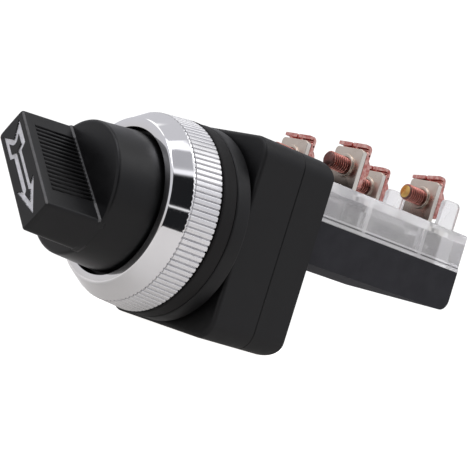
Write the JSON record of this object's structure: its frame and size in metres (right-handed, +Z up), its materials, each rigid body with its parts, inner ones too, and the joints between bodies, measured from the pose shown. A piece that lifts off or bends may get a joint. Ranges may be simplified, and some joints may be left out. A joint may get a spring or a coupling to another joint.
{
  "type": "selector switch",
  "caption": "Panel selector switch: black grip knob with an arrow, knurled chrome locking ring, black housing and a clear-topped contact block with screw terminals",
  "frame": {"origin": "the knob's axis where it crosses the panel seat, which is the front face of the rubber gasket", "axes": "minus Y is the front with the knob, plus Y runs back along the contact block, plus X is to the right as seen from the front, plus Z is up with the terminals on top"},
  "size_m": [0.039, 0.1024, 0.0471],
  "materials": {
    "body_plastic": "matte black moulding",
    "knob_plastic": "satin black moulding",
    "chrome": "bright plated",
    "rubber": "matte",
    "clear_plastic": "clear moulding",
    "carrier_plastic": "natural moulding",
    "zinc_steel": "zinc plated",
    "spring_steel": "bright drawn",
    "silver": "silver contact rivets",
    "nickel_silver": "plated strip",
    "copper": "copper flashed"
  },
  "bodies": {
    "housing": {"front_housing": "body_plastic", "rear_housing": "body_plastic", "housing_screws": "zinc_steel", "gasket": "rubber", "spacer_ring": "body_plastic", "thrust_washer": "zinc_steel", "detent_spring": "spring_steel", "block_base": "body_plastic", "block_cover": "clear_plastic", "block_screws": "zinc_steel", "fixed_contacts": "silver", "return_spring": "spring_steel", "terminal_front_left": "nickel_silver", "terminal_front_right": "nickel_silver", "terminal_rear_left": "nickel_silver", "terminal_rear_right": "nickel_silver"},
    "operator": {"knob": "knob_plastic", "knob_seal": "rubber", "spindle": "zinc_steel", "cam": "carrier_plastic", "cam_washer": "zinc_steel", "cam_screw": "zinc_steel"},
    "plunger": {"slider": "carrier_plastic", "nc_bridge": "copper", "no_bridge": "copper", "nc_spring": "spring_steel", "no_spring": "spring_steel"},
    "ring": {"locking_ring": "chrome"},
    "clamp_front_left": {"terminal_screw_front_left": "copper", "clamp_washer_front_left": "copper"},
    "clamp_front_right": {"terminal_screw_front_right": "copper", "clamp_washer_front_right": "copper"},
    "clamp_rear_left": {"terminal_screw_rear_left": "copper", "clamp_washer_rear_left": "copper"},
    "clamp_rear_right": {"terminal_screw_rear_right": "copper", "clamp_washer_rear_right": "copper"}
  },
  "joints": [
    {"name": "knob_turn", "type": "hinge", "parent": "housing", "child": "operator", "pos_m": [0, 0, 0], "axis": [0, 1, 0], "range_deg": [0, 90], "deforming": ["detent_spring"]},
    {"name": "plunger_slide", "type": "slide", "parent": "housing", "child": "plunger", "axis": [0, 1, 0], "range_m": [0, 0.003], "deforming": ["return_spring"]},
    {"name": "ring_travel", "type": "slide", "parent": "housing", "child": "ring", "axis": [0, -1, 0], "range_m": [0, 0.006]},
    {"name": "clamp_travel_front_left", "type": "slide", "parent": "housing", "child": "clamp_front_left", "axis": [0, 1, 0], "range_m": [0, 0.0025]},
    {"name": "clamp_travel_front_right", "type": "slide", "parent": "housing", "child": "clamp_front_right", "axis": [0, 1, 0], "range_m": [0, 0.0025]},
    {"name": "clamp_travel_rear_left", "type": "slide", "parent": "housing", "child": "clamp_rear_left", "axis": [0, 1, 0], "range_m": [0, 0.0025]},
    {"name": "clamp_travel_rear_right", "type": "slide", "parent": "housing", "child": "clamp_rear_right", "axis": [0, 1, 0], "range_m": [0, 0.0025]}
  ],
  "couplings": [
    {"joint": "plunger_slide", "follows": "knob_turn", "m_per_rad": 0.0019099}
  ]
}
